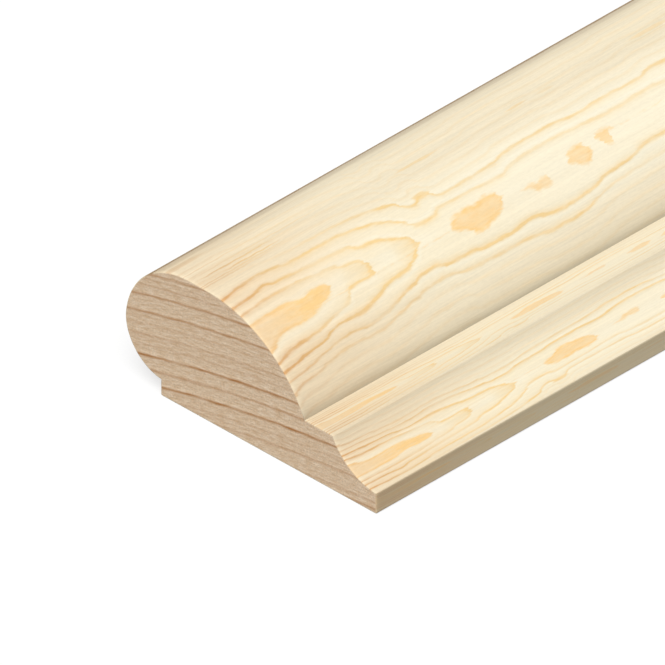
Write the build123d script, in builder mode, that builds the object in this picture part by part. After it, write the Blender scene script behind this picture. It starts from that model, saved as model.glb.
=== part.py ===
"""Picture rail, a planed softwood moulding in one sold length.

One piece of timber with the same section from end to end, lying on its flat wall face.
The frame has +X across the section from the rounded head to the nose edge, +Y along the
grain and +Z up from the wall face. The origin is at the bottom centre of the whole length.
On the wall the head is the upper edge, and picture hooks hang over it into the rebate behind.
Sizes are in millimetres.
"""

import os

from build123d import *

# Stock
length = 2400.0  # one sold length, along the grain
width = 45.0  # across the section, from the head to the nose edge
thickness = 20.0  # from the wall face up to the crown

# Rounded head, with the hook rebate behind it
head_overhang = 6.35  # how far the head stands out past the wall face
hip_height = 9.5  # where the head stands out furthest, above the wall face
rebate_shoulder = 2.4  # upright shoulder from the wall face to the head's underside
head_round = 11.1  # across the section, from the head's edge to where its curve meets the crown
crown_flat = 3.25  # strip of planed stock left between the head and the flank

# Stepped front, from the foot of the flank to the nose edge
quirk_to_nose = 12.8  # from the sharp inner corner under the flank to the nose edge
fillet_width = 5.0  # flat band beside the quirk
fillet_height = 8.4  # level of that band, above the wall face
cove_radius = 9.2  # hollow between the band and the nose edge
nose_edge = 3.2  # upright edge of the nose

# Eased arrises
arris_radius = 0.25

# Stations across the section
head_x = -width / 2
nose_x = width / 2
wall_face_x = head_x + head_overhang
quirk_x = nose_x - quirk_to_nose
fillet_x = quirk_x + fillet_width
crown_start_x = head_x + head_round
crown_end_x = crown_start_x + crown_flat

# Corners of the section
wall_near_head = (wall_face_x, 0)
wall_near_nose = (nose_x, 0)
nose_top = (nose_x, nose_edge)
band_front = (fillet_x, fillet_height)
quirk = (quirk_x, fillet_height)
crown_end = (crown_end_x, thickness)
crown_start = (crown_start_x, thickness)
hip = (head_x, hip_height)
rebate_corner = (wall_face_x, rebate_shoulder)
eased_corners = (wall_near_head, wall_near_nose, nose_top, band_front)

# The rail, extruded both ways from the middle of its length
with BuildPart() as picture_rail:
    with BuildSketch(Plane.XZ) as section:
        with BuildLine() as outline:
            Line(wall_near_head, wall_near_nose)
            Line(wall_near_nose, nose_top)
            RadiusArc(nose_top, band_front, cove_radius)
            Line(band_front, quirk)
            TangentArc(crown_end, quirk, tangent=(1, 0))
            Line(crown_end, crown_start)
            TangentArc(crown_start, hip, tangent=(-1, 0))
            TangentArc(hip, rebate_corner, tangent=(0, -1))
            Line(rebate_corner, wall_near_head)
        make_face()
        eased = [section.vertices().sort_by_distance(corner)[0] for corner in eased_corners]
        fillet(eased, radius=arris_radius)
    extrude(amount=length / 2, both=True)

picture_rail.part.label = "picture_rail"

os.makedirs("parts", exist_ok=True)
export_step(picture_rail.part, "parts/picture_rail.step")
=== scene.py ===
"""A planed softwood picture rail, lying on its flat wall face on a pale studio floor.

The frame's node is a coarse mesh of the rail, so the rail is built again here with fine arcs
and soft arrises, at the same sizes and in the same place. The timber's figure is drawn by
shader nodes in surface coordinates: u runs along the rail from its near end, and t runs
across the growth rings. Lengths are in metres, apart from u, t and the shader's other sizes,
which are in millimetres.
"""

import math
from typing import NamedTuple

import bmesh
import bpy
from mathutils import Matrix, Vector


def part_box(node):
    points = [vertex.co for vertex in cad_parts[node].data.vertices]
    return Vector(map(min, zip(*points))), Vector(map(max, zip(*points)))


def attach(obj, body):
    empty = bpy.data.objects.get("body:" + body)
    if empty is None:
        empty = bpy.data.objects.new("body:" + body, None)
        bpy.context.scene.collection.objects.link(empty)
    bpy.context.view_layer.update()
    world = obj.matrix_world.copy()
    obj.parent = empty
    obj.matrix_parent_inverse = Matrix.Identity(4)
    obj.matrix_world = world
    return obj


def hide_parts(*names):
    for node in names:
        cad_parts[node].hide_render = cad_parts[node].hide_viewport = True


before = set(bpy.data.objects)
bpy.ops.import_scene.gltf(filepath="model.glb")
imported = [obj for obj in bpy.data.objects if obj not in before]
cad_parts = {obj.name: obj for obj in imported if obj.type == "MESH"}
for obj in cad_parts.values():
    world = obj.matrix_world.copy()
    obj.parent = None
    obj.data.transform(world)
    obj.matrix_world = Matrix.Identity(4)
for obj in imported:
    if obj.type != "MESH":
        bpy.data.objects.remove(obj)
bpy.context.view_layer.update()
near_corner, far_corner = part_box("picture_rail")

MM = 0.001

# Section sizes
WIDTH = far_corner[0] - near_corner[0]
THICKNESS = far_corner[2]
NEAR_Y = near_corner[1]
FAR_Y = far_corner[1]
HEAD_OVERHANG = 6.35 * MM
HIP_HEIGHT = 9.5 * MM
REBATE_SHOULDER = 2.4 * MM
HEAD_ROUND = 11.1 * MM
CROWN_FLAT = 3.25 * MM
QUIRK_TO_NOSE = 12.8 * MM
FILLET_WIDTH = 5.0 * MM
FILLET_HEIGHT = 8.4 * MM
COVE_RADIUS = 9.2 * MM
NOSE_EDGE = 3.2 * MM
ARRIS_RADIUS = 0.25 * MM
END_ARRIS = 0.15 * MM

# Pairs of edges that meet in an eased arris
EASED = (("rebate", "back"), ("back", "nose"), ("nose", "cove"), ("cove", "band"))

# Mesh steps
ARC_STEP = math.radians(2.0)
ARRIS_STEPS = 4
END_ARRIS_STEPS = 2
HOLDING_STEP = 0.5 * MM
ARRIS_HOLD = 0.08 * MM
LONG_FLAT = 5 * ARRIS_HOLD
SHARP_ANGLE = math.radians(35)

# Bake layout: two strips of the rail's sides, one above the other, and both ends over them
NEAR_STRIP = 0.4
BAKE_SIDE_ROWS = 0.875
BAKE_EDGE = 0.002
BAKE_END_COLUMN = 0.5


class Lay(NamedTuple):
    """How a face of the section lies across the figure.

    t is start at the edge's start and grows by rate for each millimetre of surface. u is moved
    on by shift. The figure is fainter where plain is more, from 0 to 1.
    """

    start: float
    rate: float
    shift: float = 0.0
    plain: float = 0.0


# The stepped front shows the same figure as the head, drawn closer and partly fainter. On the
# rebate's shoulder t goes on from about where the head ends.
FIGURE_LAY = {
    "back": Lay(start=-6.0, rate=1.0, shift=700.0),
    "nose": Lay(start=24.6, rate=-6.9, plain=0.6),
    "cove": Lay(start=21.9, rate=-2.22),
    "band": Lay(start=22.1, rate=-4.0, plain=0.3),
    "head": Lay(start=0.0, rate=1.0),
    "rebate": Lay(start=53.4, rate=1.0),
}
# How much painted shade darkens the timber against the run in mm along an edge, 0 being none.
# The painted shade is darkest in the inner corner under the flank, where the head's edge starts,
# and it also dims the band, the cove and the arris at the nose's top.
PAINTED_SHADE = {
    "head": ((0, 1.15), (0.5, 0.85), (0.9, 0.5), (1.6, 0.3), (2.6, 0.12), (4, 0)),
    "band": ((0, 0.2), (5, 0.22)),
    "cove": ((0, 0.12), (4, 0.1), (7.5, 0.02), (8.8, 0.06), (9.6, 0.15)),
    "nose": ((0, 0), (2.5, 0), (2.85, 0.35), (3.2, 0.7)),
}
# No painted shade, for the edges that the table leaves out
NO_PAINTED_SHADE = ((0, 0), (1, 0))


def sweep(centre, start, end, steps=None):
    """Points on the circle about centre, the short way from start to end."""
    first, last = start - centre, end - centre
    turn = math.atan2(first.x * last.y - first.y * last.x, first.dot(last))
    steps = steps or math.ceil(abs(turn) / ARC_STEP)
    points = []
    for step in range(steps + 1):
        spoke = first.copy()
        spoke.rotate(Matrix.Rotation(turn * step / steps, 2))
        points.append(centre + spoke)
    return points


def tangent_arc(start, tangent, end):
    """Points of the arc that leaves start along tangent and reaches end."""
    start, end = Vector(start), Vector(end)
    normal = Vector((-tangent[1], tangent[0]))
    chord = end - start
    radius = chord.length_squared / (2 * chord.dot(normal))
    return sweep(start + normal * radius, start, end)


def hollow_arc(start, end, radius):
    """Points of the arc from start to end that is hollow on its left side."""
    start, end = Vector(start), Vector(end)
    chord = end - start
    rise = math.sqrt(radius**2 - chord.length_squared / 4)
    normal = Vector((-chord.y, chord.x)).normalized()
    return sweep((start + end) / 2 + normal * rise, start, end)


def held(edge, corner, direction, reach):
    """The edge's points outside the corner's round.

    A long flat gets one more point beside the round, so that it shades flat.
    """
    kept = [point for point in edge if (point - corner).length > reach]
    if (kept[-1] - corner).length > reach + LONG_FLAT:
        kept.append(corner + direction * (reach + ARRIS_HOLD))
    return kept


def ease(before, after, radius):
    """Rounds the corner between two edges and gives each edge its half of the round."""
    corner = before[-1]
    back = (before[-2] - corner).normalized()
    ahead = (after[1] - corner).normalized()
    half = back.angle(ahead) / 2
    reach = radius / math.tan(half)
    centre = corner + (back + ahead).normalized() * (radius / math.sin(half))
    rounded = sweep(centre, corner + back * reach, corner + ahead * reach, ARRIS_STEPS)
    middle = ARRIS_STEPS // 2
    before[:] = held(before, corner, back, reach) + rounded[: middle + 1]
    after[:] = rounded[middle:] + held(after[::-1], corner, ahead, reach)[::-1]


def section_edges():
    """The section's edges in order round it, each a list of points from corner to corner."""
    head_x, nose_x = -WIDTH / 2, WIDTH / 2
    wall_x = head_x + HEAD_OVERHANG
    quirk_x = nose_x - QUIRK_TO_NOSE
    band_x = quirk_x + FILLET_WIDTH
    crown_start = (head_x + HEAD_ROUND, THICKNESS)
    crown_end = (head_x + HEAD_ROUND + CROWN_FLAT, THICKNESS)
    hip, quirk = (head_x, HIP_HEIGHT), (quirk_x, FILLET_HEIGHT)
    rebate = (wall_x, REBATE_SHOULDER)
    flank = tangent_arc(crown_end, (1, 0), quirk)[::-1]
    shoulder = tangent_arc(crown_start, (-1, 0), hip)
    underside = tangent_arc(hip, (0, -1), rebate)
    edges = {
        "back": [Vector((wall_x, 0)), Vector((nose_x, 0))],
        "nose": [Vector((nose_x, 0)), Vector((nose_x, NOSE_EDGE))],
        "cove": hollow_arc((band_x, FILLET_HEIGHT), (nose_x, NOSE_EDGE), COVE_RADIUS)[::-1],
        "band": [Vector((band_x, FILLET_HEIGHT)), Vector(quirk)],
        "head": flank + shoulder + underside[1:],
        "rebate": [Vector(rebate), Vector((wall_x, 0))],
    }
    for before, after in EASED:
        ease(edges[before], edges[after], ARRIS_RADIUS)
    return edges


def painted_shade_at(edge, run):
    """How much painted shade darkens the timber, run millimetres along an edge of the section."""
    levels = PAINTED_SHADE.get(edge, NO_PAINTED_SHADE)
    for (start, low), (end, high) in zip(levels, levels[1:]):
        if run <= end:
            return low + (high - low) * (run - start) / (end - start)
    return levels[-1][1]


class Outline:
    """The section as one closed ring of points, with each side's place across the figure."""

    def __init__(self):
        self.points = []
        self.figure = []
        self.faces = []
        self.painted_shade = []
        self.along = [0.0]
        for name, edge in section_edges().items():
            lay = FIGURE_LAY[name]
            run = 0.0
            for here, there in zip(edge, edge[1:]):
                step = (there - here).length
                self.points.append(here)
                self.figure.append([lay.start + place / MM * lay.rate for place in (run, run + step)])
                self.faces.append((lay.shift, lay.plain))
                self.painted_shade.append([painted_shade_at(name, place / MM) for place in (run, run + step)])
                self.along.append(self.along[-1] + step)
                run += step
        self.count = len(self.points)
        self.length = self.along[-1]

    def inset(self, depth):
        """The ring's points moved inwards by depth."""
        moved = []
        for index, point in enumerate(self.points):
            before = point - self.points[index - 1]
            after = self.points[(index + 1) % self.count] - point
            side_a = Vector((-before.y, before.x)).normalized()
            side_b = Vector((-after.y, after.x)).normalized()
            middle = (side_a + side_b).normalized()
            moved.append(point + middle * depth / middle.dot(side_a))
        return moved

    def side_corners(self, side, near_y, far_y):
        """A side's corners in order, as (y, t, share of the way round the section, painted shade)."""
        t_start, t_end = self.figure[side]
        around_start, around_end = (self.along[side + end] / self.length for end in (0, 1))
        painted_shade_start, painted_shade_end = self.painted_shade[side]
        return (
            (near_y, t_start, around_start, painted_shade_start),
            (far_y, t_start, around_start, painted_shade_start),
            (far_y, t_end, around_end, painted_shade_end),
            (near_y, t_end, around_end, painted_shade_end),
        )


def stations():
    """Places along the rail as (y, inset), from the near end face to the far one."""
    near = []
    for step in range(END_ARRIS_STEPS + 1):
        angle = math.pi / 2 * step / END_ARRIS_STEPS
        near.append((NEAR_Y + END_ARRIS * (1 - math.cos(angle)), END_ARRIS * (1 - math.sin(angle))))
    near.append((NEAR_Y + END_ARRIS + HOLDING_STEP, 0.0))
    far = [(NEAR_Y + FAR_Y - y, inset) for y, inset in reversed(near)]
    return near + [(NEAR_Y + NEAR_STRIP, 0.0)] + far


def side_bake_place(y, around, strip):
    """Where a point of the rail's sides lies in the baked map: around is 0 to 1 round the section."""
    start, end = ((NEAR_Y, NEAR_Y + NEAR_STRIP), (NEAR_Y + NEAR_STRIP, FAR_Y))[strip]
    row = BAKE_SIDE_ROWS / 2
    across = strip * row + BAKE_EDGE + around * (row - 2 * BAKE_EDGE)
    return (BAKE_EDGE + (y - start) / (end - start) * (1 - 2 * BAKE_EDGE), across)


def end_bake_place(point, end):
    """Where a point of an end face lies in the baked map: end is 0 for the near one, 1 for the far."""
    scale = (1 - BAKE_SIDE_ROWS - 2 * BAKE_EDGE) / THICKNESS
    left = BAKE_EDGE + end * BAKE_END_COLUMN
    return (left + (point.x + WIDTH / 2) * scale, BAKE_SIDE_ROWS + BAKE_EDGE + point.y * scale)


def new_layers(bm):
    """The mesh layers that the materials and the bake read."""
    return {
        "figure": bm.loops.layers.uv.new("figure"),
        "baked": bm.loops.layers.uv.new("OFBake"),
        "plain": bm.faces.layers.float.new("plain"),
        # Painted shade for each corner, which darkens the timber in the material
        "painted_shade": bm.loops.layers.float.new("painted_shade"),
    }


def add_sides(bm, layers, outline, rings):
    """The faces between the rings of vertices, which are given as (y, vertices)."""
    for (near_y, near), (far_y, far) in zip(rings, rings[1:]):
        strip = int(far_y > NEAR_Y + NEAR_STRIP + HOLDING_STEP)
        for side in range(outline.count):
            after = (side + 1) % outline.count
            face = bm.faces.new((near[side], far[side], far[after], near[after]))
            shift, face[layers["plain"]] = outline.faces[side]
            corners = outline.side_corners(side, near_y, far_y)
            for loop, (y, t, around, painted_shade) in zip(face.loops, corners):
                loop[layers["figure"]].uv = ((y - NEAR_Y) / MM + shift, t)
                loop[layers["baked"]].uv = side_bake_place(y, around, strip)
                loop[layers["painted_shade"]] = painted_shade


def add_ends(bm, layers, near, far):
    """Both sawn ends, in the second material, from the first and the last ring of vertices."""
    for end, ring in enumerate((near, far[::-1])):
        face = bm.faces.new(ring)
        face.material_index = 1
        for loop in face.loops:
            point = Vector((loop.vert.co.x, loop.vert.co.z))
            loop[layers["figure"]].uv = point / MM
            loop[layers["baked"]].uv = end_bake_place(point, end)
    bm.normal_update()
    bmesh.ops.triangulate(bm, faces=[face for face in bm.faces if face.material_index == 1])


def build_rail():
    """The rail as one mesh, with its sides in the first material and its ends in the second."""
    outline = Outline()
    bm = bmesh.new()
    layers = new_layers(bm)
    rings = []
    for y, inset in stations():
        rings.append((y, [bm.verts.new((point.x, y, point.y)) for point in outline.inset(inset)]))
    add_sides(bm, layers, outline, rings)
    add_ends(bm, layers, rings[0][1], rings[-1][1])
    mesh = bpy.data.meshes.new("rail")
    bm.to_mesh(mesh)
    bm.free()
    mesh.set_sharp_from_angle(angle=SHARP_ANGLE)
    for polygon in mesh.polygons:
        polygon.use_smooth = polygon.material_index == 0
    rail = bpy.data.objects.new("rail", mesh)
    bpy.context.collection.objects.link(rail)
    return rail


class Signal:
    """A number or colour that a shader computes, with the operators that the materials use."""

    def __init__(self, kit, socket):
        self.kit = kit
        self.socket = socket

    def __add__(self, other):
        return self.kit.math("ADD", self, other)

    def __radd__(self, other):
        return self.kit.math("ADD", other, self)

    def __sub__(self, other):
        return self.kit.math("SUBTRACT", self, other)

    def __rsub__(self, other):
        return self.kit.math("SUBTRACT", other, self)

    def __mul__(self, other):
        return self.kit.math("MULTIPLY", self, other)

    def __truediv__(self, other):
        return self.kit.math("DIVIDE", self, other)


class Texture(NamedTuple):
    """Noise in patches of a length and width in mm. With no width, they go right across.

    The seed sets the noise apart from the others, and strength is what it is multiplied by.
    """

    length: float
    width: float | None
    seed: float
    strength: float = 1.0
    detail: float = 2.0
    roughness: float = 0.5


# The Mix node's first input and its output, for each kind of value
MIX_SOCKETS = {"FLOAT": (2, 0), "RGBA": (6, 2)}

# What the planed and the sawn surfaces share
BUMP_STRENGTH = 0.5
SPECULAR = 0.1


class Kit:
    """Builds one material's nodes. Inputs are numbers, colours or Signals."""

    def __init__(self, name):
        self.material = bpy.data.materials.new(name)
        self.material.use_nodes = True
        self.nodes = self.material.node_tree.nodes
        self.links = self.material.node_tree.links
        self.nodes.clear()

    def node(self, kind, **settings):
        """A new node of this kind, with its settings."""
        made = self.nodes.new(kind)
        for name, value in settings.items():
            setattr(made, name, value)
        return made

    def feed(self, socket, value):
        """Links a Signal to the socket, or sets the socket to a plain value."""
        if isinstance(value, Signal):
            self.links.new(value.socket, socket)
        else:
            socket.default_value = value

    def math(self, operation, *values, clamp=False):
        """What a Math node makes of the values."""
        made = self.node("ShaderNodeMath", operation=operation, use_clamp=clamp)
        for socket, value in zip(made.inputs, values):
            self.feed(socket, value)
        return Signal(self, made.outputs[0])

    def bigger(self, a, b):
        """The bigger of two numbers."""
        return self.math("MAXIMUM", a, b)

    def smaller(self, a, b):
        """The smaller of two numbers."""
        return self.math("MINIMUM", a, b)

    def gap(self, a, b):
        """How far apart two numbers are."""
        return self.math("ABSOLUTE", a - b)

    def hypotenuse(self, a, b):
        """How long a line is that goes a along and b across."""
        return self.math("SQRT", a * a + b * b)

    def mix(self, kind, share, a, b, **settings):
        """What a Mix node makes of two values of this kind."""
        made = self.node("ShaderNodeMix", data_type=kind, **settings)
        first, output = MIX_SOCKETS[kind]
        for index, value in ((0, share), (first, a), (first + 1, b)):
            self.feed(made.inputs[index], value)
        return Signal(self, made.outputs[output])

    def blend(self, share, a, b):
        """a where share is 0 and b where it is 1, for numbers."""
        return self.mix("FLOAT", share, a, b)

    def tint(self, share, a, b):
        """a where share is 0 and b where it is 1, for colours."""
        return self.mix("RGBA", share, a, b)

    def shaded(self, colour, shade):
        """The colour multiplied by shade, a number."""
        return self.mix("RGBA", 1.0, colour, self.vector(shade, shade, shade), blend_type="MULTIPLY")

    def step(self, value, start, end, low=0.0, high=1.0):
        """Goes smoothly from low to high as value goes from start to end."""
        made = self.node("ShaderNodeMapRange", interpolation_type="SMOOTHSTEP")
        for socket, given in zip(made.inputs[:5], (value, start, end, low, high)):
            self.feed(socket, given)
        return Signal(self, made.outputs[0])

    def curve(self, value, points):
        """A smooth line through the points (x, y), level beyond both ends."""
        x_start, x_span = points[0][0], points[-1][0] - points[0][0]
        low = min(y for x, y in points)
        y_span = max(y for x, y in points) - low
        made = self.node("ShaderNodeFloatCurve")
        mapping = made.mapping
        mapping.extend = "HORIZONTAL"
        line = mapping.curves[0]
        while len(line.points) < len(points):
            line.points.new(0.5, 0.5)
        for point, (x, y) in zip(line.points, points):
            point.location = ((x - x_start) / x_span, (y - low) / y_span)
            point.handle_type = "AUTO_CLAMPED"
        mapping.update()
        self.feed(made.inputs["Value"], (value - x_start) / x_span)
        return Signal(self, made.outputs[0]) * y_span + low

    def vector(self, x, y, z=0.0):
        """Three numbers as one vector."""
        made = self.node("ShaderNodeCombineXYZ")
        for socket, value in zip(made.inputs, (x, y, z)):
            self.feed(socket, value)
        return Signal(self, made.outputs[0])

    def split(self, vector):
        """A vector's three numbers."""
        made = self.node("ShaderNodeSeparateXYZ")
        self.feed(made.inputs[0], vector)
        return [Signal(self, output) for output in made.outputs]

    def attribute(self, name):
        """The number that the mesh keeps under this name."""
        return Signal(self, self.node("ShaderNodeAttribute", attribute_name=name).outputs["Fac"])

    def texture(self, look, u, t):
        """The look's noise at (u, t): about zero, and mostly within 0.3 of it before its strength."""
        if look.width is None:
            place = self.vector(u / look.length, look.seed)
        else:
            place = self.vector(u / look.length, t / look.width, look.seed)
        made = self.node("ShaderNodeTexNoise")
        self.feed(made.inputs["Vector"], place)
        self.feed(made.inputs["Scale"], 1.0)
        self.feed(made.inputs["Detail"], look.detail)
        self.feed(made.inputs["Roughness"], look.roughness)
        return (Signal(self, made.outputs["Fac"]) - 0.5) * look.strength

    def surface(self, colour, roughness, height):
        """The finished wood surface: height is in millimetres."""
        shader = self.node("ShaderNodeBsdfPrincipled")
        bump = self.node("ShaderNodeBump")
        self.feed(bump.inputs["Height"], height)
        bump.inputs["Strength"].default_value = BUMP_STRENGTH
        bump.inputs["Distance"].default_value = MM
        self.links.new(bump.outputs["Normal"], shader.inputs["Normal"])
        self.feed(shader.inputs["Base Color"], colour)
        self.feed(shader.inputs["Roughness"], roughness)
        shader.inputs["Specular IOR Level"].default_value = SPECULAR
        output = self.node("ShaderNodeOutputMaterial")
        self.links.new(shader.outputs[0], output.inputs["Surface"])
        return self.material


def srgb(red, green, blue):
    """A colour given as it looks on screen, 0 to 255, as the shader's linear values."""
    linear = []
    for part in (red, green, blue):
        level = part / 255
        linear.append(level / 12.92 if level <= 0.04045 else ((level + 0.055) / 1.055) ** 2.4)
    return (*linear, 1.0)


# Timber between the growth lines
WOOD = srgb(247, 234, 205)
WOOD_CROWN_NEAR = srgb(247, 235, 205)
WOOD_CROWN = srgb(249, 239, 212)
WOOD_EARLY = srgb(253, 246, 224)
WOOD_NOSE = srgb(243, 224, 186)
WOOD_DENSE = srgb(240, 211, 171)
# Latewood: on the crown, low on the flank, near the sawn end, right at it, and on the head's side,
# where its darker, greyer tint is also painted shade
LATE = srgb(246, 214, 156)
LATE_LOW = srgb(238, 202, 146)
LATE_WARM = srgb(230, 190, 132)
LATE_END = srgb(220, 168, 114)
LATE_SIDE_AND_RIM_SHADE = srgb(196, 165, 128)
# Filled ovals, and right at the sawn end
OVAL = srgb(251, 211, 147)
OVAL_END = srgb(238, 197, 144)
# Sawn end grain and its ring lines
SAWN_DARK = srgb(222, 190, 153)
SAWN_PALE = srgb(249, 227, 200)
SAWN_LATE = srgb(186, 130, 78)

# The figure near the end that shows, drawn as (u, t) along each growth line from the end. Each
# pair of rings above and below the centre line meets in an arch, unless it runs on to the last u.
# Ring 0 is the edge of the filled oval, and the higher rings arch round it.
CENTRE_LINE = (
    (0, 12.2), (5, 12.9), (10, 13), (13.9, 13.6), (17, 13.5), (21, 13.2), (29, 12.8), (36, 12.3),
    (95, 12.4),
)
RINGS_ABOVE = (
    ((0, 14.5), (4, 14.7), (6.5, 14.7), (9, 14.1), (11.3, 14.5), (13.3, 14.3), (13.9, 13.9)),
    (
        (0, 16), (4, 16.4), (7, 16.5), (10, 16.4), (13, 16), (16, 15.7), (17.5, 15.1), (19.3, 14.8),
        (20.5, 14.1), (21, 13.3),
    ),
    (
        (0, 17.6), (4, 17.9), (6.3, 18.4), (8, 17.95), (12, 17.65), (16, 17.4), (20, 17.1), (22, 16.2),
        (24, 16), (26, 15.2), (28, 14.3), (29, 12.9),
    ),
    (
        (0, 19.5), (2, 19.8), (4, 20.2), (7, 20.3), (10, 20), (13, 19.5), (18, 19.6), (22, 19.3),
        (25, 18.6), (28, 17.5), (30, 16), (32, 14.9), (34, 15), (36, 15.7), (42, 15.5), (46, 15.3),
        (48.5, 15.9), (54, 16.3), (60, 16.1), (67, 15.6), (74, 15.8), (76, 15.5), (95, 15.8),
    ),
    (
        (0, 22.3), (7, 22.2), (10, 21.7), (13, 21.4), (22, 21.1), (26, 20.7), (29, 20), (31, 19.4),
        (33.3, 17.8), (34.6, 18.5), (36, 18.3), (38, 17.1), (42, 17.2), (47, 17.4), (50, 18.1),
        (58, 18.2), (62, 17.7), (69, 17.9), (73, 17.7), (77, 18.4), (80, 18.1), (95, 18),
    ),
)
RINGS_BELOW = (
    (
        (0, 9.4), (1, 9.9), (2.5, 10.8), (4, 11.1), (7, 11), (9, 11.2), (11, 11.9), (13, 12.5),
        (13.9, 13.2),
    ),
    (
        (0, 8), (2, 8.55), (5, 8.9), (9, 9.3), (12, 9.9), (15, 10.8), (16.5, 12.1), (20.3, 12.2),
        (21, 13.1),
    ),
    (
        (0, 6.6), (4, 7.2), (8, 7.65), (10, 8.3), (12, 8.6), (15, 8.5), (18, 9), (20, 9.6), (22, 10.2),
        (25, 10.4), (27, 11.2), (28.5, 12.2), (29, 12.7),
    ),
    (
        (0, 5.2), (4, 5.7), (8, 6.5), (13, 6.9), (15, 6.5), (18, 6.8), (22, 7.7), (25, 8.4), (27, 8.9),
        (29, 9), (31, 8.4), (36, 8.2), (37.5, 7.95), (43, 7.9), (45.5, 8.3), (49, 7.6), (52, 7.45),
        (57, 7.75), (60, 8.4), (65, 8.8), (68, 9.5), (95, 9.3),
    ),
    (
        (0, 3.4), (2, 4.3), (5, 4.55), (7, 5), (13, 5.5), (15, 5.3), (20, 5.85), (24, 6.6), (30, 7.2),
        (33, 6.55), (38, 6.35), (44, 6.2), (49, 5.6), (51, 5.6), (56, 6.2), (60, 7), (70, 7.4), (95, 7),
    ),
)
# How clear each of those lines is, as (u, strength), for rings 1 to 4
CLEAR_ABOVE = (
    ((0, 0.7), (4, 0.55), (9, 0.6), (14, 0.35), (18, 0.8), (21, 0.9)),
    ((0, 1), (8, 0.95), (12, 0.65), (18, 0.45), (23, 0.95), (29, 0.9)),
    (
        (0, 0.85), (3, 0.85), (12, 0.8), (28, 0.9), (31, 0.6), (32.5, 0.85), (36, 0.6), (50, 0.5),
        (95, 0.75),
    ),
    (
        (0, 0.1), (9, 0.2), (18, 0.5), (27, 0.7), (32, 1), (36, 0.85), (44, 0.6), (56, 0.75),
        (75, 0.65), (77, 1),
    ),
)
CLEAR_BELOW = (
    ((0, 0.95), (6, 0.9), (11, 0.6), (14, 0.4), (16.5, 0.9), (21, 1)),
    ((0, 0.9), (8, 1.1), (14, 1.05), (20, 1.2), (29, 1.1)),
    (
        (0, 0.5), (6, 0.6), (13, 0.75), (17, 0.45), (22, 0.8), (30, 1.05), (47, 1.15), (56, 0.8),
        (70, 0.9),
    ),
    ((0, 0.6), (6, 0.55), (12, 0.45), (20, 0.6), (45, 0.65), (51, 0.9), (57, 0.5), (66, 0.3)),
)
# How clear the lines outside the drawn ones are, and how closely two ring numbers have to agree
OUTER_CLEAR = 0.2
SAME_RING = 0.1
# How far the rings have closed in on the centre line, as (u, ring)
MIDDLE_RING = (
    (0, -2), (11, -1.5), (13, -0.5), (13.9, 0), (14.3, 0.2), (16, 0.4), (17.5, 0.68), (20, 0.84),
    (20.9, 1), (21.3, 1.2), (24, 1.33), (26, 1.66), (28, 1.86), (28.9, 2), (29.3, 2.2), (31, 2.4),
    (36, 2.5), (95, 2.5),
)
MIDDLE_SOFTNESS = 0.25
# The filled ovals further along, as (u, t) along their upper and lower edges
OVALS_TOP = (
    (34.2, 11.9), (35, 12.8), (36, 13.4), (38, 13.85), (40, 13.7), (42, 14), (43.2, 13.8), (44.2, 12.9),
    (45.5, 11.8), (47.5, 12), (49.3, 12.3), (50, 11.9), (51, 12.3), (51.8, 12.1), (52.6, 11.1),
    (54, 11), (55.9, 12.1), (56.5, 13.1), (57.5, 13.7), (58.7, 13.9), (59.6, 13.4), (60.4, 12.4),
    (61, 12.3), (61.7, 13.4), (62.3, 13.9), (64.3, 13.9), (65, 13.2),
)
OVALS_BOTTOM = (
    (34.2, 12.1), (35.4, 11.5), (37, 10.7), (38.2, 9.95), (39.2, 9.9), (40.2, 10.35), (41.5, 10.5),
    (43, 11.2), (43.8, 12), (44.3, 12.8), (45.5, 13), (47.6, 12), (49, 11.5), (49.8, 10.8),
    (51.6, 10.8), (52.6, 11.2), (54, 13), (55.9, 12), (57, 11.5), (58.3, 10.9), (59.5, 11.5),
    (60.3, 12.2), (61, 13.4), (61.7, 13.2), (62.4, 12.8), (62.6, 11.8), (63.5, 11.6), (64, 13.2),
    (65, 13.4),
)
OVALS_CLEAR = ((44, 1), (45.5, 0.7), (52.5, 0.7), (54, 0.85), (66, 0.8))
# Short dashes of latewood as (u, t, half length, half width, strength)
DASHES = (
    (7.8, 16.4, 0.9, 0.16, 0.6),
    (10.4, 16.4, 0.8, 0.16, 0.6),
    (35.1, 18.5, 1.3, 0.6, 0.8),
    (32.2, 14.8, 1.3, 0.35, 0.5),
    (46.5, 17, 0.9, 0.25, 0.4),
    (39.7, 23.9, 3.8, 0.28, 0.6),
    (57.8, 23.8, 1.9, 0.25, 0.55),
    (62.8, 23.8, 1.5, 0.3, 0.3),
    (82, 24, 3.5, 0.4, 0.5),
    (4, 22.9, 9, 0.13, 0.45),
    (6, 23.3, 10, 0.11, 0.55),
    (9.5, 23.8, 5, 0.14, 0.75),
    (8, 24.6, 7, 0.16, 0.7),
    (12, 25.4, 12, 0.12, 0.4),
    (10, 26.5, 14, 0.12, 0.35),
    (2, 29.3, 4.5, 0.6, 0.35),
    (27, 3.7, 2.5, 0.3, 0.3),
)
# Where an edge fades in, from outside to inside: of a dash and of a line on the head's side as
# shares of its half width, of the near oval in rings, and of the other ovals in mm
DASH_FADE = (1.3, 0.6)
SIDE_LINE_FADE = (1.25, 0.5)
OVAL_FADE = (0.08, -0.2)
OVALS_FADE = (-0.35, 0.45)
# The near oval has a paler core, in rings, that gives way over CORE_END, in u. The other ovals
# have a slightly paler core, in mm from their edges, and the edges are ragged.
CORE_FADE = (-0.7, -0.15)
CORE_END = (4, 9)
CORE_LEVEL = 0.6
OVALS_CORE_FADE = (0.3, 1.1)
OVALS_CORE_LEVEL = 0.8
OVALS_RAGGED = 0.7

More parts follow.
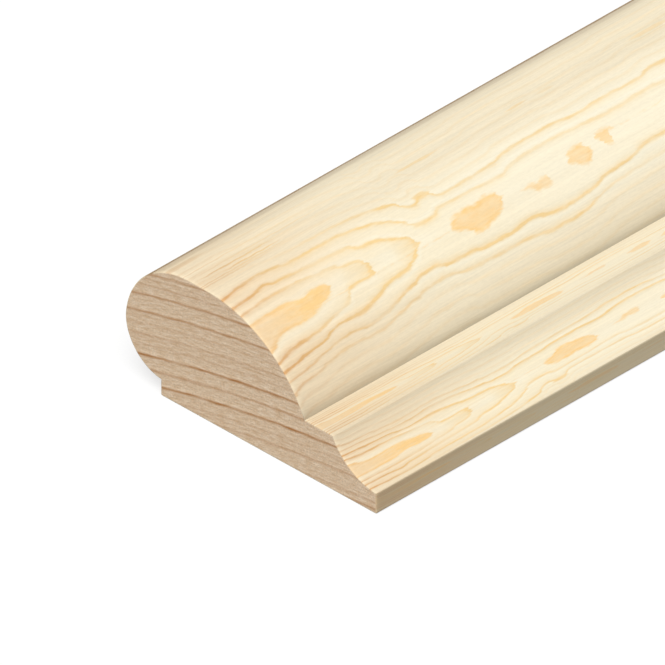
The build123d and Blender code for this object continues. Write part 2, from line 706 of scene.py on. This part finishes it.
# How dark latewood is against its distance outwards from a growth line, in rings from LINE_REACH
# inside it: it fades in slowly from the pith's side and ends sharply on the bark's side. A line
# has the timber from half a ring and LINE_LEAD inside it to half a ring less LINE_LEAD outside.
LINE_REACH = 0.6
LINE_LEAD = 0.2
LINE_ACROSS = (
    (0, 0), (0.12, 0.07), (0.3, 0.2), (0.42, 0.42), (0.5, 0.85), (0.56, 1), (0.63, 0.95),
    (0.71, 0.45), (0.8, 0.14), (0.9, 0),
)
# How pale the crown's earlywood is, as (rings outwards from a line, share)
EARLY_ACROSS = ((0, 0), (0.1, 0.1), (0.22, 1), (0.4, 0.7), (0.7, 0.1), (1, 0))
# Widths of the drawn rings where they have room: in the oval, between lines and outside them all.
# No ring is narrower than THIN.
OVAL_RING = 1.5
LINE_RING = 2.2
OUTER_RING = 1.7
THIN = 0.05
# The u where the drawing ends, and where it gives way to the figure further on
NEAR_FIGURE = 95.0
BLEND_START = 78.0
BLEND_END = 130.0

# The figure further on: how clear its lines are by ring, a ring's width, how many rings the first
# is moved in by, the t of its middle, how far under the surface the centre of its arches is, and
# the length along the rail in which that grows by 1 mm
RING_STRENGTHS = (
    (0, 0.8), (1, 0.7), (2, 0.85), (3, 0.9), (4, 0.6), (5, 0.2), (6, 0.15), (9, 0.12), (12, 0.2),
    (16, 0.45), (30, 0.5),
)
FAR_RING = 2.0
FAR_FIRST_RING = 1.3
FAR_MIDDLE = 12.4
FAR_DEEP = 6.5
FAR_DEEPENING = 260.0

# Growth rings on the end face: the pith as (x, z), about how far off it is, and each clear line
# as its radius from the pith and its strength
PITH = (39.07, -213.61)
PITH_REACH = 225.0
END_LINES = (
    (214.9, 0.6), (215.9, 0.3), (218.45, 0.4), (219.3, 0.15), (220, 0.25), (221.15, 0.1), (221.8, 1),
    (223.95, 0.65), (226.05, 1), (227.65, 0.2), (228.5, 0.15), (229.1, 0.4), (230.7, 0.2),
    (231.75, 0.15), (232.5, 0.8), (235.05, 0.7), (236.5, 0.3), (237.4, 0.2), (238.2, 0.55),
    (238.75, 0.08),
)
# A ring line's width on the end face. A pale line runs outside it, PALE_LINE_OFF widths away,
# with a share of its strength.
END_LINE_WIDTH = 0.21
PALE_LINE_OFF = 2.0
PALE_LINE_SHARE = 0.35
# The same rings come out along the head's side, from this t onwards. Where the surface cuts them
# at a slant, their lines are wider and clearer than where it cuts them square. Their dark, grey
# tint is also painted shade along the side, where the head turns away from the lamp. Along the rail
# they soften from BLEND_START to SIDE_FADED.
SIDE_START = 28.0
SIDE_FULL = 31.0
SIDE_HALF_WIDTH = 0.4
SIDE_STRENGTH = 0.75
SIDE_FADED = 260.0
SIDE_FAR_SHARE = 0.5

# How much the timber between the lines is tinted near the end, as (t, share)
END_DENSITY = (
    (0, 0.3), (4, 0.4), (5.5, 0.5), (8, 0.6), (9.2, 0.45), (10.5, 0.3), (15, 0.45), (16, 0.5),
    (17.5, 0.6), (19.8, 0.6), (20.9, 0.35), (22.1, 0.35), (23, 0.5), (25, 0.45), (26.5, 0.3), (30, 0.4),
)
# Painted light and shade across the head, as (t, share): a shade under 1 on the crown, above 1 on
# the shoulder, and darker again at t 32 to 34, where the head turns away from the lamp
PAINTED_LIGHT_AND_SHADE = (
    (0, 1), (4, 1.01), (8, 1.02), (12, 1.01), (18, 0.99), (24, 0.97), (26, 0.99), (29, 1.03),
    (31, 1.0), (32, 0.94), (33, 0.92), (34.5, 0.96), (37, 1),
)
# Where a tint fades in, as the values at which it is 0 and 1: of the distance from the crown's
# middle, of t on the flank, of plainness on the nose, and of u for the others
CROWN_MIDDLE = 13.0
CROWN_FADE = (9, 4)
LOW_FLANK_FADE = (10.5, 8)
NOSE_FADE = (0.5, 0.6)
CROWN_PALE_FADE = (28, 50)
DENSE_FADE = (32, 2)
LOW_END_FADE = (40, 10)
WARM_FADE = (20, 0)
BROWN_FADE = (10, -3)
# How strong the tints are
EARLY_SHARE = 0.45
NOSE_SHARE = 0.7
NOSE_DENSITY = 0.25
# How much of the figure a plain face loses, and how much of its brightness the painted shade
# takes away for each unit of it
PLAIN_SHARE = 0.6
PAINTED_SHADE_SHARE = 0.4
# The fibres show least on the crown, in a band about its middle
FIBRE_MIDDLE = 14.0
FIBRE_FADE = (8, 5)
FIBRE_SHADE = 0.2
FIBRE_CROWN_SHADE = 0.09

# Noise in the planed surface. The shivers bend the figure, in mm.
SHIVER_ALONG = Texture(length=3, width=0.5, seed=17.0, strength=1.6)
SHIVER_ACROSS = Texture(length=1.7, width=1.1, seed=9.0, strength=0.5, detail=3.0)
LINE_PATCHES = Texture(length=2.8, width=1.0, seed=13.0, strength=1.8, detail=4.0)
OVAL_PATCHES = Texture(length=3.2, width=1.1, seed=19.0, strength=1.1, detail=4.0)
OVAL_SPECKS = Texture(length=0.9, width=0.45, seed=41.0, detail=3.0)
FIBRES = Texture(length=7, width=0.2, seed=21.0, detail=3.0)
STREAKS = Texture(length=30, width=0.9, seed=25.0, strength=0.17, detail=3.0)
SPECKS = Texture(length=0.7, width=0.3, seed=31.0, strength=0.1, detail=1.0)
FAR_WANDER = Texture(length=160, width=None, seed=3.7, strength=9.0)
FAR_DEPTH = Texture(length=230, width=None, seed=27.9, strength=19.0, detail=1.0)
FAR_DRIFT = Texture(length=14, width=9, seed=5.0, strength=2.2)
SIDE_WANDER = Texture(length=90, width=None, seed=51.0, strength=1.2)
SIDE_SHIVER = Texture(length=9, width=3, seed=53.0, strength=0.5)
SIDE_PATCHES = Texture(length=40, width=2.5, seed=57.0, strength=0.9)
# Noise in the sawn surface, along and across its rings
SAWN_WOBBLE = Texture(length=4, width=2, seed=3.0, strength=0.35)
SAWN_PATCHES = Texture(length=5, width=1.5, seed=7.0, strength=1.6)
SAWN_FIBRES = Texture(length=1.6, width=0.3, seed=11.0, detail=3.0, roughness=0.6)
SAWN_SPECKS = Texture(length=0.3, width=0.18, seed=15.0, strength=0.75, detail=3.0)
SAWN_FIBRE_FADE = (-0.25, 0.3)
# How clear the latewood is on the whole, which its patches and specks vary
LINE_LEVEL = 1.0
SIDE_LEVEL = 0.95
OVAL_LEVEL = 0.93
OVAL_SPECK_SHARE = 0.5
SAWN_LEVEL = 0.85
# How deep the sawn lines' tint is, and how much brighter the pale lines beside them are
SAWN_LINE_SHARE = 0.95
SAWN_PALE_SHARE = 0.3
# Relief in mm and roughness
FIBRE_RELIEF = 0.02
LATE_RELIEF = 0.01
SAWN_FIBRE_RELIEF = 0.06
SAWN_LINE_RELIEF = 0.02
PLANED_ROUGHNESS = 0.7
LATE_SMOOTHER = 0.08
SAWN_ROUGHNESS = 0.75


class Place:
    """Where a point of the planed surface lies, and where the bent figure has it."""

    def __init__(self, kit):
        surface = kit.node("ShaderNodeUVMap", uv_map="figure")
        self.u, self.t = kit.split(Signal(kit, surface.outputs[0]))[:2]
        self.bent_u = self.u + kit.texture(SHIVER_ALONG, self.u, self.t)
        self.bent_t = self.t + kit.texture(SHIVER_ACROSS, self.u, self.t)
        self.plain = kit.attribute("plain")
        # Painted shade from the mesh, which darkens the timber
        self.painted_shade = kit.attribute("painted_shade")
        self.on_side = kit.step(self.t, SIDE_START, SIDE_FULL)
        self.at_end = kit.step(self.u, *BROWN_FADE)


def nearest_line(kit, ring):
    """The number of the growth line that a point belongs to."""
    return kit.math("ROUND", ring + LINE_LEAD)


def across_rings(kit, away, distances):
    """Rings crossed on the way out from the centre line. It is below zero inside the oval.

    Where two growth lines run far apart, each keeps its width and the timber between them widens.
    """
    total = kit.smaller(away - distances[0], 0.0) / OVAL_RING
    for inner, outer in zip(distances, distances[1:]):
        width = kit.smaller(kit.bigger(outer - inner, THIN), LINE_RING)
        leaving = kit.smaller((away - inner) / width, 0.5)
        nearing = 1.0 - (outer - away) / width
        total = total + kit.math("MAXIMUM", leaving, nearing, clamp=True)
    return total + kit.bigger(away - distances[-1], 0.0) / OUTER_RING


def ring_distances(kit, u, centre, above):
    """How far each drawn ring is from the centre line, on a point's side of it."""
    distances = []
    for upper, lower in zip(RINGS_ABOVE, RINGS_BELOW):
        distance = kit.blend(above, centre - kit.curve(u, lower), kit.curve(u, upper) - centre)
        tip = upper[-1][0]
        if tip < NEAR_FIGURE:
            distance = distance * kit.math("LESS_THAN", u, tip)
        distances.append(distance)
    return distances


def near_figure(kit, u, t):
    """The drawn figure: ring number, and how clear the nearest growth line is."""
    centre = kit.curve(u, CENTRE_LINE)
    above = kit.math("GREATER_THAN", t, centre)
    across = across_rings(kit, kit.gap(t, centre), ring_distances(kit, u, centre, above))
    ring = kit.math("SMOOTH_MAX", across, kit.curve(u, MIDDLE_RING), MIDDLE_SOFTNESS)
    nearest = nearest_line(kit, ring)
    clear = kit.math("GREATER_THAN", nearest, len(CLEAR_ABOVE) + 0.5) * OUTER_CLEAR
    for number, (upper, lower) in enumerate(zip(CLEAR_ABOVE, CLEAR_BELOW), start=1):
        strength = kit.blend(above, kit.curve(u, lower), kit.curve(u, upper))
        clear = clear + kit.math("COMPARE", nearest, number, SAME_RING) * strength
    return ring, clear


def far_figure(kit, u, t):
    """The figure by itself further on: arches where the surface runs close to the pith's line."""
    wander = kit.texture(FAR_WANDER, u, t)
    drift = kit.texture(FAR_DRIFT, u, t)
    away = t - FAR_MIDDLE - wander + drift
    deep = kit.texture(FAR_DEPTH, u, t) + FAR_DEEP + u / FAR_DEEPENING
    ring = kit.hypotenuse(away, deep) / FAR_RING - FAR_FIRST_RING
    clear = kit.curve(nearest_line(kit, ring), RING_STRENGTHS)
    return ring, clear


def growth_rings(kit, place):
    """Ring number, and how clear the nearest growth line is, all along the rail."""
    near_ring, near_clear = near_figure(kit, place.bent_u, place.bent_t)
    far_ring, far_clear = far_figure(kit, place.bent_u, place.bent_t)
    far_share = kit.step(place.u, BLEND_START, BLEND_END)
    return kit.blend(far_share, near_ring, far_ring), kit.blend(far_share, near_clear, far_clear)


def dash(kit, place, dimensions):
    """A short filled streak of latewood."""
    centre_u, centre_t, half_length, half_width, strength = dimensions
    along = (place.bent_u - centre_u) / half_length
    across = (place.bent_t - centre_t) / half_width
    return kit.step(kit.hypotenuse(along, across), *DASH_FADE, 0.0, strength)


def growth_lines(kit, place, ring, clear):
    """How much latewood there is in the growth lines and dashes, from 0 to 1."""
    off_line = ring - nearest_line(kit, ring)
    line = kit.curve(off_line + LINE_REACH, LINE_ACROSS) * clear
    line = line * (kit.texture(LINE_PATCHES, place.u, place.t) + LINE_LEVEL)
    line = line * (1.0 - place.on_side)
    for dimensions in DASHES:
        line = kit.bigger(line, dash(kit, place, dimensions))
    return kit.math("MULTIPLY", line, 1.0 - place.plain * PLAIN_SHARE, clamp=True)


def filled_ovals(kit, place, ring):
    """How much latewood there is in the filled ovals, from 0 to 1."""
    off_core = kit.bigger(kit.step(ring, *CORE_FADE), kit.step(place.u, *CORE_END))
    near_oval = kit.step(ring, *OVAL_FADE) * (off_core * (1 - CORE_LEVEL) + CORE_LEVEL)
    specks = kit.texture(OVAL_SPECKS, place.u, place.t)
    under_top = kit.curve(place.bent_u, OVALS_TOP) - place.bent_t
    over_bottom = place.bent_t - kit.curve(place.bent_u, OVALS_BOTTOM)
    depth = kit.smaller(under_top, over_bottom) + specks * OVALS_RAGGED
    ovals = kit.step(depth, *OVALS_FADE) * kit.step(depth, *OVALS_CORE_FADE, 1.0, OVALS_CORE_LEVEL)
    filled = kit.bigger(near_oval, ovals * kit.curve(place.u, OVALS_CLEAR))
    patches = kit.texture(OVAL_PATCHES, place.u, place.t)
    filled = filled * (patches + specks * OVAL_SPECK_SHARE + OVAL_LEVEL)
    return kit.math("MULTIPLY", filled, 1.0 - place.plain * PLAIN_SHARE, clamp=True)


def rings_on_side():
    """Where the end's rings come out along the head's side, as (t, half width, strength)."""
    edges = section_edges()
    points = [point / MM for point in edges["head"] + edges["rebate"][1:]]
    found = []
    t = 0.0
    for here, there in zip(points, points[1:]):
        run = (there - here).length
        outer, inner = (here - Vector(PITH)).length, (there - Vector(PITH)).length
        slant = (outer - inner) / run
        for radius, strength in END_LINES:
            if t > SIDE_START and inner <= radius < outer:
                crossing = t + (outer - radius) / slant
                clear = min(SIDE_STRENGTH * strength / slant, 1)
                found.append((crossing, SIDE_HALF_WIDTH / slant, clear))
        t += run
    return found


def side_lines_and_rim_shade(kit, place):
    """Latewood along the head's side, which also paints shade where the head turns away from the lamp:
    long lines that wander a little and come and go.
    """
    u, t = place.bent_u, place.bent_t
    wander = kit.texture(SIDE_WANDER, u, t) + kit.texture(SIDE_SHIVER, u, t)
    total = 0.0
    for centre, half_width, strength in rings_on_side():
        away = kit.gap(t + wander, centre) / half_width
        total = kit.step(away, *SIDE_LINE_FADE, 0.0, strength) + total
    total = total * (kit.texture(SIDE_PATCHES, u, t) + SIDE_LEVEL)
    total = total * kit.step(u, BLEND_START, SIDE_FADED, 1.0, SIDE_FAR_SHARE)
    return kit.math("MULTIPLY", total, place.on_side, clamp=True)


def ground_colour(kit, place, ring):
    """The timber between the growth lines: palest on the crown and densest near the end."""
    on_crown = kit.step(kit.gap(place.t, CROWN_MIDDLE), *CROWN_FADE) * (1.0 - place.plain)
    crown = kit.tint(kit.step(place.u, *CROWN_PALE_FADE), WOOD_CROWN_NEAR, WOOD_CROWN)
    early = kit.curve(kit.math("FRACT", ring), EARLY_ACROSS) * on_crown
    ground = kit.tint(early * EARLY_SHARE, kit.tint(on_crown, WOOD, crown), WOOD_EARLY)
    on_nose = kit.step(place.plain, *NOSE_FADE)
    ground = kit.tint(on_nose * NOSE_SHARE, ground, WOOD_NOSE)
    dense = kit.curve(place.t, END_DENSITY) + on_nose * NOSE_DENSITY
    return kit.tint(dense * kit.step(place.u, *DENSE_FADE), ground, WOOD_DENSE)


def late_colour(kit, place):
    """The growth lines' latewood: deeper low on the flank and brown at the sawn end."""
    low = kit.step(place.t, *LOW_FLANK_FADE) * kit.step(place.u, *LOW_END_FADE)
    late = kit.tint(low, LATE, LATE_LOW)
    late = kit.tint(kit.step(place.u, *WARM_FADE), late, LATE_WARM)
    return kit.tint(place.at_end, late, LATE_END)


def planed_shade(kit, place, fibres):
    """How bright the planed surface is, about 1: fibres, streaks, specks, painted shade in the inner
    corner and on the stepped front, and painted light and shade across the head.
    """
    on_crown = kit.step(kit.gap(place.t, FIBRE_MIDDLE), *FIBRE_FADE)
    streaks = kit.texture(STREAKS, place.u, place.t)
    specks = kit.texture(SPECKS, place.u, place.t)
    shade = fibres * (FIBRE_SHADE - on_crown * FIBRE_CROWN_SHADE) + streaks + specks + 1.0
    return shade * (1.0 - place.painted_shade * PAINTED_SHADE_SHARE) * kit.curve(place.t, PAINTED_LIGHT_AND_SHADE)


def long_grain():
    """Planed long grain: pale timber, orange growth lines and fine fibres."""
    kit = Kit("long_grain")
    place = Place(kit)
    ring, clear = growth_rings(kit, place)
    line = growth_lines(kit, place, ring, clear)
    filled = filled_ovals(kit, place, ring)
    # The side's latewood lines, darker and greyer, also paint shade where the head turns away from the
    # lamp
    colour = kit.tint(side_lines_and_rim_shade(kit, place), ground_colour(kit, place, ring), LATE_SIDE_AND_RIM_SHADE)
    colour = kit.tint(line, colour, late_colour(kit, place))
    colour = kit.tint(filled, colour, kit.tint(place.at_end, OVAL, OVAL_END))
    fibres = kit.texture(FIBRES, place.u, place.t)
    colour = kit.shaded(colour, planed_shade(kit, place, fibres))
    late = kit.bigger(line, filled)
    height = fibres * FIBRE_RELIEF + late * LATE_RELIEF
    return kit.surface(colour, PLANED_ROUGHNESS - late * LATE_SMOOTHER, height)


def end_lines(kit, radius):
    """How dark the rings make the end face, and below zero where they make it paler."""
    total = 0.0
    for line_radius, strength in END_LINES:
        off = (radius - line_radius) / END_LINE_WIDTH
        pale_off = off - PALE_LINE_OFF
        dark = kit.math("EXPONENT", off * off * -1.0)
        pale = kit.math("EXPONENT", pale_off * pale_off * -1.0)
        total = (dark - pale * PALE_LINE_SHARE) * strength + total
    return total


def end_grain():
    """Sawn end grain: brown ring lines on a greyer tan, with fine fibres and specks."""
    kit = Kit("end_grain")
    x, _, z = kit.split(Signal(kit, kit.node("ShaderNodeTexCoord").outputs["Object"]))
    out_x, out_z = x / MM - PITH[0], z / MM - PITH[1]
    radius = kit.hypotenuse(out_x, out_z)
    turn = kit.math("ARCTAN2", out_x, out_z) * PITH_REACH
    lines = end_lines(kit, radius + kit.texture(SAWN_WOBBLE, turn, radius))
    lines = lines * (kit.texture(SAWN_PATCHES, turn, radius) + SAWN_LEVEL)
    fibres = kit.texture(SAWN_FIBRES, turn, radius)
    colour = kit.tint(kit.step(fibres, *SAWN_FIBRE_FADE), SAWN_DARK, SAWN_PALE)
    colour = kit.tint(kit.bigger(lines * SAWN_LINE_SHARE, 0.0), colour, SAWN_LATE)
    shade = 1.0 + kit.texture(SAWN_SPECKS, turn, radius) - kit.smaller(lines, 0.0) * SAWN_PALE_SHARE
    height = fibres * SAWN_FIBRE_RELIEF + lines * SAWN_LINE_RELIEF
    return kit.surface(kit.shaded(colour, shade), SAWN_ROUGHNESS, height)


# Floor: its colour as lit for the camera and for the light that it throws back, and the glow
# that makes it white to the camera
FLOOR_SIZE = 14.0
FLOOR_DROP = 0.02 * MM
FLOOR_LOOK = (0.4, 0.4, 0.4, 1.0)
FLOOR_BOUNCE = (0.13, 0.13, 0.13, 1.0)
FLOOR_GLOW = 0.63
WHITE = (1.0, 1.0, 1.0, 1.0)


def floor_material():
    """A pale floor that looks white to the camera, apart from the rail's shadow."""
    kit = Kit("floor")
    path = kit.node("ShaderNodeLightPath")
    camera, glossy, transmission = (
        Signal(kit, path.outputs[f"Is {kind} Ray"]) for kind in ("Camera", "Glossy", "Transmission")
    )
    seen = kit.bigger(kit.bigger(camera, glossy), transmission)
    diffuse = kit.node("ShaderNodeBsdfDiffuse")
    kit.feed(diffuse.inputs["Color"], kit.tint(seen, FLOOR_BOUNCE, FLOOR_LOOK))
    glow = kit.node("ShaderNodeEmission")
    glow.inputs["Color"].default_value = WHITE
    kit.feed(glow.inputs["Strength"], seen * FLOOR_GLOW)
    both = kit.node("ShaderNodeAddShader")
    kit.links.new(diffuse.outputs[0], both.inputs[0])
    kit.links.new(glow.outputs[0], both.inputs[1])
    output = kit.node("ShaderNodeOutputMaterial")
    kit.links.new(both.outputs[0], output.inputs["Surface"])
    return kit.material


def build_floor():
    """The level floor under the rail."""
    half = FLOOR_SIZE / 2
    mesh = bpy.data.meshes.new("floor")
    corners = [(-half, -half, 0), (half, -half, 0), (half, half, 0), (-half, half, 0)]
    mesh.from_pydata(corners, [], [(0, 1, 2, 3)])
    mesh.materials.append(floor_material())
    floor = bpy.data.objects.new("floor", mesh)
    floor.location.z = -FLOOR_DROP
    bpy.context.collection.objects.link(floor)


# Light: the lamp leans towards the nose edge and the near end, as the photo's does
LAMP_FROM = (0.28, -0.53, 0.8)
LAMP_LEVEL = 0.9
LAMP_SPREAD = math.radians(50)
SKY_LEVEL = 0.3


def build_lamp():
    """One large soft lamp far away."""
    lamp = bpy.data.lights.new("key", "SUN")
    lamp.energy = LAMP_LEVEL * math.pi
    lamp.angle = LAMP_SPREAD
    key = bpy.data.objects.new("key", lamp)
    key.rotation_euler = Vector(LAMP_FROM).to_track_quat("Z", "Y").to_euler()
    bpy.context.collection.objects.link(key)


def build_sky():
    """An even pale sky that looks white to the camera."""
    world = bpy.data.worlds.new("studio")
    world.use_nodes = True
    nodes, links = world.node_tree.nodes, world.node_tree.links
    nodes.clear()
    path = nodes.new("ShaderNodeLightPath")
    level = nodes.new("ShaderNodeMapRange")
    level.inputs["To Min"].default_value = SKY_LEVEL
    level.inputs["To Max"].default_value = 1.0
    sky = nodes.new("ShaderNodeBackground")
    sky.inputs["Color"].default_value = WHITE
    output = nodes.new("ShaderNodeOutputWorld")
    links.new(path.outputs["Is Camera Ray"], level.inputs["Value"])
    links.new(level.outputs[0], sky.inputs["Strength"])
    links.new(sky.outputs[0], output.inputs["Surface"])
    bpy.context.scene.world = world


# Camera: it looks along the photo's direction, without perspective. The scale is in pixels for
# each millimetre, and the pixel is where the near end's lower corner by the rebate falls.
CAMERA_AZIMUTH = math.radians(44.65)
CAMERA_ELEVATION = math.radians(34.05)
CAMERA_SCALE = 7.84
CAMERA_DISTANCE = 2.0
CAMERA_NEAREST = 0.01
CAMERA_FURTHEST = 20.0
PHOTO_SIZE = 665
WALL_CORNER_PIXEL = (160.8, 395.1)


def build_camera():
    """The camera, placed so that the near end's corner falls on its pixel."""
    cos_a, sin_a = math.cos(CAMERA_AZIMUTH), math.sin(CAMERA_AZIMUTH)
    cos_e, sin_e = math.cos(CAMERA_ELEVATION), math.sin(CAMERA_ELEVATION)
    right = Vector((cos_a, sin_a, 0))
    up = Vector((-sin_a * sin_e, cos_a * sin_e, cos_e))
    back = Vector((sin_a * cos_e, -cos_a * cos_e, sin_e))
    corner = Vector((-WIDTH / 2 + HEAD_OVERHANG, NEAR_Y, 0))
    off_right = (PHOTO_SIZE / 2 - WALL_CORNER_PIXEL[0]) / CAMERA_SCALE * MM
    off_up = (WALL_CORNER_PIXEL[1] - PHOTO_SIZE / 2) / CAMERA_SCALE * MM
    data = bpy.data.cameras.new("camera")
    data.type = "ORTHO"
    data.ortho_scale = PHOTO_SIZE / CAMERA_SCALE * MM
    data.clip_start = CAMERA_NEAREST
    data.clip_end = CAMERA_FURTHEST
    camera = bpy.data.objects.new("camera", data)
    camera.location = corner + right * off_right + up * off_up + back * CAMERA_DISTANCE
    camera.rotation_euler = Matrix((right, up, back)).transposed().to_euler()
    bpy.context.collection.objects.link(camera)
    bpy.context.scene.camera = camera


rail = build_rail()
rail.data.materials.append(long_grain())
rail.data.materials.append(end_grain())
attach(rail, "root")
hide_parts("picture_rail")
build_floor()
build_lamp()
build_sky()
build_camera()
bpy.context.scene.view_settings.view_transform = "Standard"
